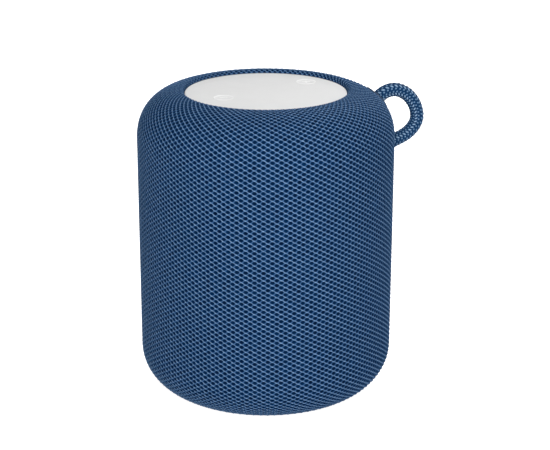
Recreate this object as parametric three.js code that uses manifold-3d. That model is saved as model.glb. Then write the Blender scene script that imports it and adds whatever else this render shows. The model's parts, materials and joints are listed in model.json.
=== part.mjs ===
// A portable bluetooth speaker: a fabric-covered can with a recessed white key panel on top, a full-range
// driver that faces forwards, a passive radiator that faces back, and a braided carry loop on one side.
// Millimetres. +Z is up, -Y is the front, and the origin is the middle of the foot pad's underside.
import * as THREE from "three";
import { mergeVertices } from "three/addons/utils/BufferGeometryUtils.js";
import Module from "manifold-3d";

const wasm = await Module();
wasm.setup();

const { PI, acos, asin, atan2, cos, hypot, sin } = Math;
const degrees = (angle) => (angle * PI) / 180;

// ---- driving dimensions ----

const GAP = 0.3; // between pieces that touch
const ROUND = 32; // facets round the body

const BODY_RADIUS = 47.5; // the fabric's outside
const BODY_TOP = 115.7;
const HEM_HEIGHT = 0.5; // the fabric's lowest line
const CORNER_RADIUS = 16.3; // lower edge of the body
const SHOULDER_WIDTH = 18.9; // upper edge of the body, a superellipse
const SHOULDER_HEIGHT = 18.1;
const SHOULDER_POWER = 2.24;
const RECESS_RADIUS = 30; // the fabric's wall round the top panel
const ROLL_RADIUS = 1.2; // where the fabric rolls over into the recess

const FABRIC = 0.9; // thickness
const SHELL_OUT = FABRIC + GAP; // the grille shell's faces, measured in from the fabric's outside
const SHELL_IN = 3;
const SHELF_BOTTOM = 102.5; // the shell's shelf under the control frame
const SHELF = 2;
const LEDGE_BOTTOM = 4.6; // the shell's ledge over the base plate

const PANEL_TOP = 114.3;
const PANEL_PLATE = 2.1;
const PANEL_RADIUS = RECESS_RADIUS - GAP;
const KEY_RADIUS = 3.75;
const KEYS = { key_minus: [-15.2, -9.1], key_plus: [15.1, 15.4] };

const CABINET_RADIUS = 41;
const CABINET_DEPTH = 31; // from the axis to the front and rear baffles
const CABINET_FLOOR = 29.5;
const CABINET_TOP = 82;
const CABINET_WALL = 2.4;
const BAFFLE = 3;
const DRIVER_HEIGHT = 55.8; // the axis of the driver and the radiator
const DRIVER_SCREW_CIRCLE = 24.4;

const BATTERY_RADIUS = 9.2; // an 18650 cell
const BATTERY_LENGTH = 65;
const BATTERY_HEIGHT = 19;

const PORT_HEIGHT = 22; // the middle of the port panel
const PORT_WIDTH = 32;
const PORT_TALL = 20;
const PORT_FACE = 43.6; // its flat face, from the body's axis
const FLAP_WIDTH = 19;
const FLAP_MIDDLE = -4;
const FLAP_AXIS = [43.7, PORT_HEIGHT + 4.6]; // y and z of the flap's hinge
const FLAP_HALF = 0.9; // half its thickness
const PORT_BOARD = 27; // the port board's front face, from the body's axis
const POWER_X = 10.6;

const ROPE_RADIUS = 2.6;
const LOOP_ANGLE = degrees(15); // the loop's plane, turned back from +X
const PIVOT_PROUD = 0.5; // the loop's pivots stand off the fabric
const BUSH_RADIUS = 4.9;

// The loop's centreline between its pivots: distance from the body's axis, and height.
const LOOP_ROUTE = [
  [45.6, 110.95],
  [47.5, 111.7],
  [49.75, 111.95],
  [52.0, 111.45],
  [54.3, 110.2],
  [56.3, 108.3],
  [57.9, 105.8],
  [58.8, 103.2],
  [59.05, 100.9],
  [58.5, 98.7],
  [57.2, 96.7],
  [55.4, 95.0],
  [53.1, 93.65],
  [50.6, 92.6],
];

// ---- solids ----

// A closed geometry as a manifold-3d solid.
function solidOf(geometry) {
  const loose = geometry.index ? geometry.toNonIndexed() : geometry.clone();
  loose.deleteAttribute("normal");
  loose.deleteAttribute("uv");
  const merged = mergeVertices(loose, 1e-4);
  const triVerts = [];
  for (let i = 0; i < merged.index.count; i += 3) {
    const [a, b, c] = [0, 1, 2].map((k) => merged.index.getX(i + k));
    if (a !== b && b !== c && c !== a) triVerts.push(a, b, c);
  }
  const mesh = new wasm.Mesh({
    numProp: 3,
    vertProperties: merged.attributes.position.array,
    triVerts: new Uint32Array(triVerts),
  });
  return new wasm.Manifold(mesh);
}

function geometryOf(solid) {
  const { vertProperties, triVerts } = solid.getMesh();
  const geometry = new THREE.BufferGeometry();
  geometry.setAttribute("position", new THREE.BufferAttribute(vertProperties, 3));
  geometry.setIndex(new THREE.BufferAttribute(triVerts, 1));
  geometry.computeVertexNormals();
  return geometry;
}

const join = (...pieces) => geometryOf(pieces.map(solidOf).reduce((a, b) => a.add(b)));
const cut = (piece, ...tools) => geometryOf(tools.map(solidOf).reduce((a, b) => a.subtract(b), solidOf(piece)));
const common = (piece, other) => geometryOf(solidOf(piece).intersect(solidOf(other)));

// A profile of [radius, height] points turned about Z. It is closed along the axis or back to its first point.
function revolve(profile, facets = ROUND) {
  const area = profile.reduce((sum, [r, z], i) => {
    const [nextR, nextZ] = profile[(i + 1) % profile.length];
    return sum + r * nextZ - nextR * z;
  }, 0);
  const points = (area > 0 ? profile : [...profile].reverse()).map(([r, z]) => new THREE.Vector2(r, z));
  if (points[0].x > 0) points.push(points[0].clone());
  return new THREE.LatheGeometry(points, facets).rotateX(PI / 2);
}

const ring = (inner, outer, low, high, facets = 28) =>
  revolve([[inner, low], [outer, low], [outer, high], [inner, high]], facets);

const rod = (radius, low, high, facets = 16) =>
  revolve([[0, low], [radius, low], [radius, high], [0, high]], facets);

const block = (x, y, z) => new THREE.BoxGeometry(x[1] - x[0], y[1] - y[0], z[1] - z[0])
  .translate((x[0] + x[1]) / 2, (y[0] + y[1]) / 2, (z[0] + z[1]) / 2);

const slab = (shape, low, high, curveSegments = 2) =>
  new THREE.ExtrudeGeometry(shape, { depth: high - low, bevelEnabled: false, curveSegments }).translate(0, 0, low);

// A shape drawn in X and Z, extruded along Y.
const upright = (shape, near, far) => slab(shape, 0, far - near).rotateX(PI / 2).translate(0, far, 0);

// A rod along Y.
const crossRod = (radius, near, far, x, z, facets = 16) =>
  rod(radius, near, far, facets).rotateX(-PI / 2).translate(x, 0, z);

function roundedRectangle(width, height, radius, x = 0, y = 0) {
  const shape = new THREE.Shape();
  const [w, h] = [width / 2 - radius, height / 2 - radius];
  shape.absarc(x + w, y - h, radius, -PI / 2, 0);
  shape.absarc(x + w, y + h, radius, 0, PI / 2);
  shape.absarc(x - w, y + h, radius, PI / 2, PI);
  shape.absarc(x - w, y - h, radius, PI, 1.5 * PI);
  return shape;
}

// ---- the body's outline ----

// A point of the shoulder, moved inwards along its normal, with that normal.
function shoulder(t, inset) {
  const x = cos(t) ** (2 / SHOULDER_POWER);
  const z = sin(t) ** (2 / SHOULDER_POWER);
  const normal = [x ** (SHOULDER_POWER - 1) / SHOULDER_WIDTH, z ** (SHOULDER_POWER - 1) / SHOULDER_HEIGHT];
  const length = hypot(...normal);
  const [nr, nz] = normal.map((n) => n / length);
  return {
    r: BODY_RADIUS - SHOULDER_WIDTH * (1 - x) - inset * nr,
    z: BODY_TOP - SHOULDER_HEIGHT * (1 - z) - inset * nz,
    nr,
    nz,
  };
}

// Where the shoulder ends and the roll into the recess begins.
const rollStart = RECESS_RADIUS + ROLL_RADIUS;
const crestWidth = (rollStart - BODY_RADIUS + SHOULDER_WIDTH) / SHOULDER_WIDTH;
const CREST = acos(crestWidth ** (SHOULDER_POWER / 2));
const crestHeight = shoulder(CREST, 0).z;

// The outline from the hem under the body, up its side and down into the recess, moved inwards by inset.
function meridian(inset, recessBottom) {
  const points = [];
  const corner = [BODY_RADIUS - CORNER_RADIUS, HEM_HEIGHT + CORNER_RADIUS];
  const cornerSteps = 4;
  for (let i = 0; i <= cornerSteps; i++) {
    const angle = (PI / 2) * (i / cornerSteps - 1);
    points.push([
      corner[0] + (CORNER_RADIUS - inset) * cos(angle),
      corner[1] + (CORNER_RADIUS - inset) * sin(angle),
    ]);
  }
  const shoulderSteps = 5;
  for (let i = 0; i < shoulderSteps; i++) {
    const { r, z } = shoulder((i / shoulderSteps) * CREST, inset);
    points.push([r, z]);
  }
  const roll = Math.max(ROLL_RADIUS - inset, 0);
  const wall = RECESS_RADIUS + inset;
  const rollHeight = crestHeight - inset - roll;
  const rollSteps = roll > 0 ? 2 : 1;
  for (let i = 0; i < rollSteps; i++) {
    const angle = (PI / 2) * (1 + i / rollSteps);
    points.push([wall + roll + roll * cos(angle), rollHeight + roll * sin(angle)]);
  }
  if (roll > 0) points.push([wall, rollHeight]);
  points.push([wall, recessBottom]);
  return points;
}

// The whole body as a solid, moved inwards by inset.
function envelope(inset) {
  const outline = meridian(inset, PANEL_TOP - 5);
  return revolve([[0, HEM_HEIGHT + inset], ...outline, [0, PANEL_TOP - 5]]);
}

// ---- materials ----

const finish = (color, roughness, metalness = 0) => new THREE.MeshStandardMaterial({ color, roughness, metalness });
const MATERIALS = {
  fabric: finish(0x2b507f, 0.9),
  rope: finish(0x33587f, 0.85),
  white: finish(0xe6e6e6, 0.45),
  shell: finish(0x1b2430, 0.6),
  grey: finish(0x3a3f45, 0.6),
  rubber: finish(0x1d3557, 0.8),
  steel: finish(0xb8bcc0, 0.3, 1),
  board: finish(0x1f5a3a, 0.5),
  chip: finish(0x17181a, 0.4),
  paper: finish(0x202226, 0.85),
  copper: finish(0xb06a35, 0.35, 1),
  ferrite: finish(0x4a4c50, 0.5, 0.6),
  cell: finish(0x2f8f6a, 0.45),
  lens: finish(0xdfe8ee, 0.2),
};

const speaker = new THREE.Group();

function add(name, material, geometry, group = speaker) {
  const mesh = new THREE.Mesh(geometry, MATERIALS[material]);
  mesh.name = name;
  group.add(mesh);
  return mesh;
}

// A pan-head screw along +Z with the underside of its head at the origin.
const screw = (length, headRadius = 1.8, shankRadius = 0.8) => revolve([
  [0, -length],
  [shankRadius, -length],
  [shankRadius, 0],
  [headRadius, 0],
  [headRadius - 0.4, 1.2],
  [0, 1.2],
], 8);

const onCircle = (radius, count, start) => Array.from({ length: count }, (_, i) => {
  const angle = degrees(start) + (i * 2 * PI) / count;
  return [radius * cos(angle), radius * sin(angle)];
});

// ---- the loop's anchors, in the loop's own plane ----

const topAnchor = shoulder(0.68, -PIVOT_PROUD);
const bottomAnchor = { r: BODY_RADIUS + PIVOT_PROUD, z: 91.4, nr: 1, nz: 0 };

// Turns a geometry that points along +Z to an anchor's normal, and moves it to the anchor.
const atAnchor = (geometry, { r, z, nr, nz }) => geometry.rotateY(atan2(nr, nz)).translate(r, 0, z);

const anchorHoles = () => [topAnchor, bottomAnchor].map((anchor) =>
  atAnchor(rod(BUSH_RADIUS + GAP, -9, 4, 20), anchor).rotateZ(LOOP_ANGLE));

const portWindow = () => upright(
  roundedRectangle(PORT_WIDTH + 2 * GAP, PORT_TALL + 2 * GAP, 4, 0, PORT_HEIGHT), 33, 60);

// ---- outer pieces ----

function addFabric() {
  const outer = meridian(0, 110);
  const inner = meridian(FABRIC, 110);
  const sleeve = revolve([...outer, ...inner.reverse()]);
  add("fabric_sleeve", "fabric", cut(sleeve, ...anchorHoles(), portWindow()));
}

// Radial slots in front of the driver and behind the radiator.
function grilleSlots() {
  const slots = [];
  for (const [facing, rows] of [[-90, [38, 56, 74]], [90, [56, 74]]]) {
    for (const z of rows) {
      for (let column = -2; column <= 2; column++) {
        const slot = block([40, 52], [-2.5, 2.5], [z - 7, z + 7]);
        slots.push(slot.rotateZ(degrees(facing + column * 16)));
      }
    }
  }
  return slots;
}

function addShell() {
  const outer = meridian(SHELL_OUT, SHELF_BOTTOM);
  const inner = meridian(SHELL_IN, SHELF_BOTTOM);
  const wall = revolve([...outer, ...inner.reverse()]);
  const shelf = ring(23, RECESS_RADIUS + SHELL_IN - 0.2, SHELF_BOTTOM, SHELF_BOTTOM + SHELF);
  const ledge = revolve([
    [25.5, LEDGE_BOTTOM],
    [38.4, LEDGE_BOTTOM],
    [41, LEDGE_BOTTOM + 2],
    [25.5, LEDGE_BOTTOM + 2],
  ]);
  const ribs = [20, 160, 200, 340].map((angle) =>
    block([40.2, 45], [-2, 2], [14, CABINET_FLOOR - GAP]).rotateZ(degrees(angle)));
  const shelfHoles = onCircle(26, 3, 90).map(([x, y]) => rod(1.1, 100, 106, 8).translate(x, y, 0));
  const ledgeHoles = onCircle(27.8, 4, 45).map(([x, y]) => rod(1.1, 3, 8, 8).translate(x, y, 0));
  const shell = join(wall, shelf, ledge, ...ribs);
  add("grille_shell", "shell",
    cut(shell, ...grilleSlots(), ...anchorHoles(), portWindow(), ...shelfHoles, ...ledgeHoles));
}

function addBase() {
  const screws = onCircle(27.8, 4, 45);
  const plate = join(rod(30.8, 1.5, 4.2, 28), ring(22.5, 24.5, 4, 6.3));
  const holes = screws.flatMap(([x, y]) => [
    rod(1.1, 1, 5, 8).translate(x, y, 0),
    rod(2.3, 1, 3.1, 12).translate(x, y, 0),
  ]);
  add("base_plate", "grey", cut(plate, ...holes));
  screws.forEach(([x, y], i) => {
    add(`base_screw_${i + 1}`, "steel", screw(5.5).rotateX(PI)).position.set(x, y, 2.9);
  });
  add("foot_pad", "rubber", revolve([
    [0, 0],
    [20.5, 0],
    [21, 0.5],
    [22.5, 0.5],
    [23, 0],
    [28.8, 0],
    [29.6, 0.8],
    [29.6, 1.2],
    [0, 1.2],
  ], 30));
}

function addTopPanel() {
  const underside = PANEL_TOP - PANEL_PLATE;
  const plate = revolve([
    [0, underside],
    [PANEL_RADIUS - 0.3, underside],
    [PANEL_RADIUS, underside + 0.3],
    [PANEL_RADIUS, PANEL_TOP - 0.4],
    [PANEL_RADIUS - 0.4, PANEL_TOP],
    [0, PANEL_TOP],
  ]);
  const skirt = ring(26.7, 27.9, 109, underside + 0.5);
  const keyHoles = Object.values(KEYS).map(([x, y]) => rod(KEY_RADIUS + 0.25, 105, 120, 20).translate(x, y, 0));
  add("top_panel", "white", cut(join(plate, skirt), ...keyHoles));
}

// A round key with a raised sign on its face, which its flange holds in under the panel.
function addKey(name, [x, y]) {
  const face = PANEL_TOP;
  const flangeTop = PANEL_TOP - PANEL_PLATE - GAP;
  const body = revolve([
    [0, flangeTop - 0.95],
    [1.5, flangeTop - 0.95],
    [1.5, flangeTop - 0.7],
    [4.5, flangeTop - 0.7],
    [4.5, flangeTop],
    [KEY_RADIUS, flangeTop],
    [KEY_RADIUS, face - 0.2],
    [KEY_RADIUS - 0.2, face],
    [0, face],
  ], 20);
  const dash = block([-1.4, 1.4], [-0.25, 0.25], [face - 0.1, face + 0.12]);
  const bar = block([-0.25, 0.25], [-1.4, 1.4], [face - 0.1, face + 0.12]);
  const sign = name === "key_plus" ? [dash, bar] : [dash];
  add(name, "white", join(body, ...sign)).position.set(x, y, 0);
}

// ---- controls and boards ----

function addControls() {
  const floor = SHELF_BOTTOM + SHELF + GAP;
  const screws = onCircle(26, 3, 90);
  const frame = join(ring(8, 29.5, floor, floor + 1.5), ring(28.2, 29.5, floor, PANEL_TOP - PANEL_PLATE - GAP));
  const holes = screws.map(([x, y]) => rod(1.1, floor - 1, floor + 3, 8).translate(x, y, 0));
  add("control_frame", "grey", cut(frame, ...holes));
  const boardBottom = floor + 1.5 + GAP;
  const notches = screws.map(([x, y]) => rod(2.6, boardBottom - 1, boardBottom + 3, 12).translate(x, y, 0));
  add("key_board", "board", cut(rod(26.2, boardBottom, boardBottom + 1.2, 32), ...notches));
  screws.forEach(([x, y], i) => {
    add(`control_screw_${i + 1}`, "steel", screw(6)).position.set(x, y, boardBottom);
  });
  for (const [name, [x, y]] of Object.entries(KEYS)) {
    const low = boardBottom + 1.2 + GAP;
    const body = block([-3, 3], [-3, 3], [low, low + 1.6]);
    const plunger = rod(1.6, low + 1, low + 2, 12);
    add(name.replace("key", "key_switch"), "chip", join(body, plunger)).position.set(x, y, 0);
  }
}

function addMainBoard() {
  const low = 96;
  const posts = onCircle(25, 3, 30);
  const holes = posts.map(([x, y]) => rod(1, low - 1, low + 3, 8).translate(x, y, 0));
  add("main_board", "board", cut(rod(30, low, low + 1.6, 28), ...holes));
  const top = low + 1.6 + GAP;
  add("radio_module", "steel", block([-12, 6], [2, 15], [top, top + 2.4]));
  add("amplifier_chip", "chip", block([-4, 3], [-14, -7], [top, top + 1.2]));
  posts.forEach(([x, y], i) => {
    add(`board_screw_${i + 1}`, "steel", screw(6, 1.6, 0.7)).position.set(x, y, top);
  });
}

// ---- acoustic cabinet ----

// A drum's outline, cut flat at the front and the back.
function drum(radius, depth, low, high) {
  const half = asin(depth / radius);
  const shape = new THREE.Shape();
  shape.absarc(0, 0, radius, -half, half);
  shape.absarc(0, 0, radius, PI - half, PI + half);
  return slab(shape, low, high, 6);
}

function addCabinet() {
  const floor = CABINET_FLOOR + CABINET_WALL;
  const outside = drum(CABINET_RADIUS, CABINET_DEPTH, CABINET_FLOOR, CABINET_TOP);
  const flange = drum(44.1, CABINET_DEPTH, CABINET_FLOOR, floor);
  const innerRadius = CABINET_RADIUS - CABINET_WALL;
  const innerDepth = CABINET_DEPTH - BAFFLE;
  const inside = drum(innerRadius, innerDepth, floor, CABINET_TOP + 1);
  const front = crossRod(23, -40, 0, 0, DRIVER_HEIGHT, 32);
  const rear = crossRod(20.3, 0, 40, 0, DRIVER_HEIGHT, 32);
  const screwHoles = onCircle(DRIVER_SCREW_CIRCLE, 4, 45).map(([x, z]) =>
    crossRod(1.1, -40, -25, x, DRIVER_HEIGHT + z, 8));
  add("cabinet_body", "shell", cut(join(outside, flange), inside, front, rear, ...screwHoles));

  const low = CABINET_TOP + GAP;
  const lid = drum(CABINET_RADIUS, CABINET_DEPTH, low, low + CABINET_WALL);
  const lip = drum(innerRadius - 0.4, innerDepth - 0.4, low - 1.8, low + 0.5);
  const posts = onCircle(25, 3, 30).map(([x, y]) => rod(3, low + 1, 96 - GAP, 16).translate(x, y, 0));
  const pilots = onCircle(25, 3, 30).map(([x, y]) => rod(1, 90, 97, 8).translate(x, y, 0));
  add("cabinet_lid", "shell", cut(join(lid, lip, ...posts), ...pilots));
}

// The arched rubber ring that a cone or a weight hangs in.
function halfRoll(middle, radius, lip, low) {
  const skin = 0.6;
  const arch = (r, steps) => steps.map((step) => {
    const angle = (step * PI) / 4;
    return [middle - r * cos(angle), low + skin / 2 + r * sin(angle)];
  });
  return revolve([
    [middle - radius - lip, low],
    [middle - radius + skin, low],
    ...arch(radius - skin, [1, 2, 3]),
    [middle + radius - skin, low],
    [middle + radius + lip, low],
    [middle + radius + lip, low + skin],
    ...arch(radius, [3, 2, 1]),
    [middle - radius - lip, low + skin],
  ], 24);
}

function addDriver() {
  const group = new THREE.Group();
  group.position.z = DRIVER_HEIGHT;
  group.rotation.x = PI / 2; // the group's +Z faces forwards
  speaker.add(group);
  const screws = onCircle(DRIVER_SCREW_CIRCLE, 4, 45);
  const holes = () => screws.map(([x, y]) => rod(1.1, 30, 36, 8).translate(x, y, 0));

  const face = CABINET_DEPTH + GAP;
  add("driver_gasket", "paper", cut(ring(23.2, 26, face, face + 0.8, 28), ...holes()), group);
  const rim = face + 0.8 + GAP;
  const flange = ring(20.5, 26, rim, rim + 1.6, 28);
  const basket = revolve([[14.5, 17], [15.7, 17], [22.4, rim + 0.3], [21.2, rim + 0.3]], 28);
  const seat = ring(11, 15.5, 16.8, 18.3, 28);
  const windows = onCircle(18, 6, 0).map(([x, y]) =>
    block([-5, 5], [-3.6, 3.6], [20.5, 29]).rotateZ(atan2(y, x)).translate(x, y, 0));
  add("driver_frame", "grey", cut(join(flange, cut(basket, ...windows), seat), ...holes()), group);
  screws.forEach(([x, y], i) => {
    add(`driver_screw_${i + 1}`, "steel", screw(7), group).position.set(x, y, rim + 1.6 + GAP);
  });

  add("driver_magnet", "ferrite", revolve([
    [0, 2],
    [15, 2],
    [16, 3],
    [16, 16.5],
    [9.3, 16.5],
    [9.3, 6],
    [7.5, 6],
    [7.5, 18],
    [0, 18],
  ], 28), group);
  add("driver_spider", "copper", revolve([
    [8.9, 20],
    [11, 20.8],
    [13, 20],
    [15.3, 20.6],
    [15.3, 21.1],
    [13, 20.5],
    [11, 21.3],
    [8.9, 20.5],
  ], 28), group);
  add("driver_surround", "rubber", halfRoll(19.5, 1.9, 0.9, rim + 1.6 + GAP), group);
  add("driver_cone", "paper", revolve([
    [8.9, 26.4],
    [8.9, 25.8],
    [17.9, rim + 0.9],
    [17.9, rim + 1.6],
    [17.4, rim + 1.6],
  ], 28), group);
  add("voice_coil", "copper", ring(8, 8.6, 10.5, 26.2, 24), group);
  add("dust_cap", "paper", revolve([
    [0, 29.6],
    [3, 29.2],
    [6, 28.2],
    [8.4, 26.7],
    [8.9, 27.1],
    [6.2, 28.8],
    [3.1, 29.9],
    [0, 30.3],
  ], 24), group);
}

function addRadiator() {
  const group = new THREE.Group();
  group.position.z = DRIVER_HEIGHT;
  group.rotation.x = -PI / 2; // the group's +Z faces back
  speaker.add(group);
  const face = CABINET_DEPTH + GAP;
  add("radiator_frame", "grey", revolve([
    [18.6, 28.3],
    [19.9, 28.3],
    [19.9, face],
    [23.5, face],
    [23.5, face + 2],
    [18.6, face + 2],
  ], 28), group);
  add("radiator_surround", "rubber", halfRoll(18, 1.9, 1.1, face + 2 + GAP), group);
  add("radiator_plate", "steel", revolve([
    [0, face + 0.2],
    [15.2, face + 0.2],
    [15.8, face + 0.8],
    [15.8, face + 2],
    [0, face + 2],
  ], 28), group);
}

// ---- battery ----

function addBattery() {
  const half = BATTERY_LENGTH / 2;
  add("battery_cell", "cell", revolve([
    [0, -half],
    [BATTERY_RADIUS - 0.4, -half],
    [BATTERY_RADIUS, 0.4 - half],
    [BATTERY_RADIUS, half - 1.4],
    [BATTERY_RADIUS - 0.4, half - 1],
    [3, half - 1],
    [3, half],
    [0, half],
  ], 28).rotateY(PI / 2)).position.z = BATTERY_HEIGHT;
  const low = LEDGE_BOTTOM + 2 + GAP;
  const trough = block([-34.6, 34.6], [-11, 11], [low, BATTERY_HEIGHT - 2]);
  const bed = rod(BATTERY_RADIUS + 0.4, -33, 33, 28).rotateY(PI / 2).translate(0, 0, BATTERY_HEIGHT);
  const lower = rod(24.6, 0, low + 0.01, 24);
  const sides = [1, -1].map((side) => block([-24, 24], [side * 8.5 - 1.3, side * 8.5 + 1.3], [low - 1, low + 3.4]));
  add("battery_cradle", "grey", cut(trough, bed, lower, ...sides));
}

// ---- port panel ----

function portHoles() {
  return [
    upright(roundedRectangle(9.5, 3.8, 1.8, 0.3, PORT_HEIGHT), 30, 60),
    crossRod(3, 30, 60, -8.6, PORT_HEIGHT),
    crossRod(3.05, 30, 60, POWER_X, PORT_HEIGHT, 20),
    crossRod(1.2, 30, 60, POWER_X, PORT_HEIGHT + 5.3, 10),
    crossRod(0.6, 30, 60, POWER_X, PORT_HEIGHT - 5.6, 8),
  ];
}

function addPortPanel() {
  const plug = upright(roundedRectangle(PORT_WIDTH, PORT_TALL, 4, 0, PORT_HEIGHT), 39.9, 60);
  const flange = upright(roundedRectangle(PORT_WIDTH + 5, PORT_TALL + 5, 4, 0, PORT_HEIGHT), 37, 40.2);
  const recess = upright(roundedRectangle(PORT_WIDTH - 2.6, PORT_TALL - 2.6, 3, 0, PORT_HEIGHT), PORT_FACE, 60);
  const pocket = upright(
    roundedRectangle(FLAP_WIDTH + 2 * GAP, 11.6, 1, FLAP_MIDDLE, PORT_HEIGHT), PORT_FACE - 1.2, 60);
  const blank = join(common(plug, envelope(GAP)), common(flange, envelope(SHELL_IN + GAP)));
  add("port_panel", "rubber", cut(blank, recess, pocket, ...portHoles()));
}

// The rubber cover over the sockets, hinged along its top edge.
function addFlap() {
  const [y, z] = FLAP_AXIS;
  const bottom = PORT_HEIGHT - 5.5;
  const plate = upright(
    roundedRectangle(FLAP_WIDTH, z - bottom, 0.6, FLAP_MIDDLE, (z + bottom) / 2), y - FLAP_HALF, y + FLAP_HALF);
  const knuckle = rod(FLAP_HALF, -FLAP_WIDTH / 2, FLAP_WIDTH / 2, 16).rotateY(PI / 2).translate(FLAP_MIDDLE, y, z);
  const tab = block([FLAP_MIDDLE - 4, FLAP_MIDDLE + 4], [y, y + FLAP_HALF + 0.8], [bottom + 0.5, bottom + 1.5]);
  add("port_flap", "rubber", join(plate, knuckle, tab));
}

function addPorts() {
  const board = roundedRectangle(30, 15.5, 1, 0, PORT_HEIGHT - 1.25);
  add("port_board", "board", upright(board, PORT_BOARD, PORT_BOARD + 1.2));
  const mount = PORT_BOARD + 1.2 + GAP;
  const usbOutside = upright(roundedRectangle(8.9, 3.2, 1.5, 0.3, PORT_HEIGHT), mount, 42.2);
  const usbInside = upright(roundedRectangle(8.3, 2.6, 1.2, 0.3, PORT_HEIGHT), mount + 5, 43);
  const tongue = block([-3, 3.6], [mount + 4.5, 41], [PORT_HEIGHT - 0.35, PORT_HEIGHT + 0.35]);
  add("usb_socket", "steel", join(cut(usbOutside, usbInside), tongue));
  const jackBody = block([-11.6, -5.6], [mount, 36.6], [PORT_HEIGHT - 3, PORT_HEIGHT + 3]);
  const barrel = crossRod(2.7, 36, 42.2, -8.6, PORT_HEIGHT);
  add("aux_jack", "chip", cut(join(jackBody, barrel), crossRod(1.8, mount + 1, 43, -8.6, PORT_HEIGHT)));
  const switchBody = block([POWER_X - 3, POWER_X + 3], [mount, mount + 3.5], [PORT_HEIGHT - 3, PORT_HEIGHT + 3]);
  add("power_switch", "chip", join(switchBody, crossRod(1.5, mount + 3, 32.9, POWER_X, PORT_HEIGHT, 12)));
  add("power_key", "rubber", revolve([
    [0, 33.8],
    [1, 33.8],
    [1, 36.2],
    [3.8, 36.2],
    [3.8, 36.7],
    [2.8, 36.7],
    [2.8, PORT_FACE + 0.4],
    [2.6, PORT_FACE + 0.6],
    [0, PORT_FACE + 0.6],
  ], 20).rotateX(-PI / 2)).position.set(POWER_X, 0, PORT_HEIGHT);
  add("status_light", "lens", crossRod(0.9, mount, PORT_FACE + 0.2, POWER_X, PORT_HEIGHT + 5.3, 10));
  add("microphone", "chip", crossRod(2, mount, mount + 1.4, POWER_X, PORT_HEIGHT - 5.6, 12));
}

// ---- carry loop ----

function addLoop() {
  const group = new THREE.Group();
  group.rotation.z = LOOP_ANGLE;
  speaker.add(group);
  const ends = [topAnchor, bottomAnchor].map(({ r, z }) => new THREE.Vector3(r, 0, z));
  const route = [ends[0], ...LOOP_ROUTE.map(([r, z]) => new THREE.Vector3(r, 0, z)), ends[1]];
  const section = new THREE.Shape().absarc(0, 0, ROPE_RADIUS, 0, 2 * PI);
  const tube = new THREE.ExtrudeGeometry(section, {
    steps: 22,
    curveSegments: 4,
    extrudePath: new THREE.CatmullRomCurve3(route),
  });
  const knobs = ends.map((end) => new THREE.SphereGeometry(ROPE_RADIUS, 8, 6).translate(end.x, end.y, end.z));
  add("carry_loop", "rope", join(tube, ...knobs), group);

  for (const [place, anchor] of [["top", topAnchor], ["bottom", bottomAnchor]]) {
    const sleeve = atAnchor(rod(BUSH_RADIUS, -6, 4, 20), anchor);
    const mouth = atAnchor(revolve([
      [0, -8],
      [ROPE_RADIUS + GAP, -8],
      [ROPE_RADIUS + GAP, -1.7],
      [4.4, 0.1],
      [6.5, 2.2],
      [6.5, 6],
      [0, 6],
    ], 20), anchor);
    add(`loop_bush_${place}`, "rubber", cut(common(sleeve, envelope(0)), mouth), group);
    const end = revolve([
      [0, -8.6],
      [2.6, -8.6],
      [3, -8.2],
      [3, -6.3],
      [2.4, -6.3],
      [2.4, -4],
      [1.2, -3],
      [0, -3],
    ], 16);
    add(`loop_end_${place}`, "rope", atAnchor(end, anchor), group);
  }
}

addFabric();
addShell();
addBase();
addTopPanel();
for (const [name, place] of Object.entries(KEYS)) addKey(name, place);
addControls();
addMainBoard();
addCabinet();
addDriver();
addRadiator();
addBattery();
addPortPanel();
addFlap();
addPorts();
addLoop();

export default speaker;
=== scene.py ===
"""The looks of a portable bluetooth speaker: a knitted sleeve over a can, a recessed white key panel, a
braided carry loop and a rear port panel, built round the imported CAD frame. Lengths are in millimetres until
they become a mesh, apart from the camera, the lights and the shaders' scales."""
import json
import math
import bmesh
import bpy
import numpy as np
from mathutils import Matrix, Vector


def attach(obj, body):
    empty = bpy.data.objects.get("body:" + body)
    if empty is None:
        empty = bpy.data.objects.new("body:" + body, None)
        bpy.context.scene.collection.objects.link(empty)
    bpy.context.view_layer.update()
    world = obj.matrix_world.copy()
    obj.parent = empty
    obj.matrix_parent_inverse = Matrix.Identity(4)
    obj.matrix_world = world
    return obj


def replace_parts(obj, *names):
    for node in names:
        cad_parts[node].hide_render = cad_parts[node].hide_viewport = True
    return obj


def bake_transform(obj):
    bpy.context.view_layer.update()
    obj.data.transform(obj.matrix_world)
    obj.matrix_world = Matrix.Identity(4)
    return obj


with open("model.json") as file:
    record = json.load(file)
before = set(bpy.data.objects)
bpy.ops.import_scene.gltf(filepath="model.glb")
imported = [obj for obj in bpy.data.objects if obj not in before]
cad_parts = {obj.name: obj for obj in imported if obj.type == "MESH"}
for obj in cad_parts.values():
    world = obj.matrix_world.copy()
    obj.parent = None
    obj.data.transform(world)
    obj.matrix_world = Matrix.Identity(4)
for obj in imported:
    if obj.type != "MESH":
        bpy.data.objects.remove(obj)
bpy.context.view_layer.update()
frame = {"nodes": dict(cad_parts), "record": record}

MM = 0.001

# ---- the body's outline, as in the CAD ----

BODY_RADIUS = 47.5
BODY_TOP = 115.7
HEM_HEIGHT = 0.5
CORNER_RADIUS = 16.3
SHOULDER_WIDTH = 18.9  # the shoulder is part of a superellipse
SHOULDER_HEIGHT = 18.1
SHOULDER_POWER = 2.24
RECESS_RADIUS = 30
ROLL_RADIUS = 1.2  # where the sleeve rolls over into the recess
WALL_FOOT = 110  # where the sleeve ends inside the recess

# ---- other sizes, as in the CAD ----

GAP = 0.3  # between pieces that touch

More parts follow.
